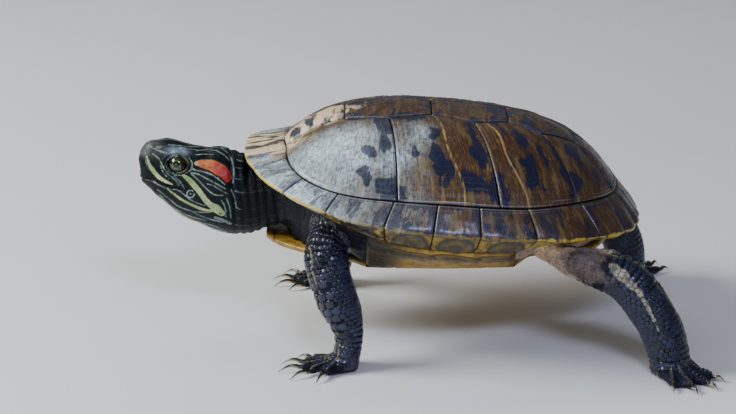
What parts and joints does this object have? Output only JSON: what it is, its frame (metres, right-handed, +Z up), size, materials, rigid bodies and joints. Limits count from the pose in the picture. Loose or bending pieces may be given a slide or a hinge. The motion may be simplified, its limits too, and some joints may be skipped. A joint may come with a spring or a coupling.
{
  "type": "red-eared slider turtle, still life-size model",
  "caption": "Life-size still model of a red-eared slider turtle standing on its feet with the neck stretched out.",
  "frame": {"origin": "on the floor under the middle of the animal's bounding box, level with the soles", "axes": "-X towards the head, +X towards the tail, -Y the animal's left side, +Z up"},
  "size_m": [0.2859, 0.1984, 0.116],
  "materials": {
    "carapace": "glossy wet horn, umber and olive brown with dark navy blotches, growth rings and pale vertical stripes",
    "marginals": "glossy horn, olive brown with dark blotches and a thin yellow edge",
    "plastron": "semi-gloss yellow horn with dark ringed blotches",
    "skin": "damp scaly skin, blue-black with yellow-green stripes and a red patch behind each eye",
    "eye": "wet glossy eye, olive iris crossed by a dark bar",
    "claw": "semi-gloss horn, dark with a paler tip"
  },
  "bodies": {
    "root": {"bridge_left": "plastron", "bridge_right": "plastron", "costal_left_1": "carapace", "costal_left_2": "carapace", "costal_left_3": "carapace", "costal_left_4": "carapace", "costal_right_1": "carapace", "costal_right_2": "carapace", "costal_right_3": "carapace", "costal_right_4": "carapace", "eye_left": "eye", "eye_right": "eye", "foot_left": "skin", "foot_right": "skin", "forearm_left": "skin", "forearm_right": "skin", "foreclaw_left_1": "claw", "foreclaw_left_2": "claw", "foreclaw_left_3": "claw", "foreclaw_left_4": "claw", "foreclaw_left_5": "claw", "foreclaw_right_1": "claw", "foreclaw_right_2": "claw", "foreclaw_right_3": "claw", "foreclaw_right_4": "claw", "foreclaw_right_5": "claw", "hand_left": "skin", "hand_right": "skin", "head": "skin", "hindclaw_left_1": "claw", "hindclaw_left_2": "claw", "hindclaw_left_3": "claw", "hindclaw_left_4": "claw", "hindclaw_right_1": "claw", "hindclaw_right_2": "claw", "hindclaw_right_3": "claw", "hindclaw_right_4": "claw", "lower_jaw": "skin", "marginals_bridge_left": "marginals", "marginals_bridge_right": "marginals", "marginals_front_left": "marginals", "marginals_front_right": "marginals", "marginals_rear_left": "marginals", "marginals_rear_right": "marginals", "neck": "skin", "nuchal": "marginals", "plastron": "plastron", "shank_left": "skin", "shank_right": "skin", "tail": "skin", "thigh_left": "skin", "thigh_right": "skin", "trunk": "skin", "upper_arm_left": "skin", "upper_arm_right": "skin", "vertebral_1": "carapace", "vertebral_2": "carapace", "vertebral_3": "carapace", "vertebral_4": "carapace", "vertebral_5": "carapace"}
  },
  "joints": []
}
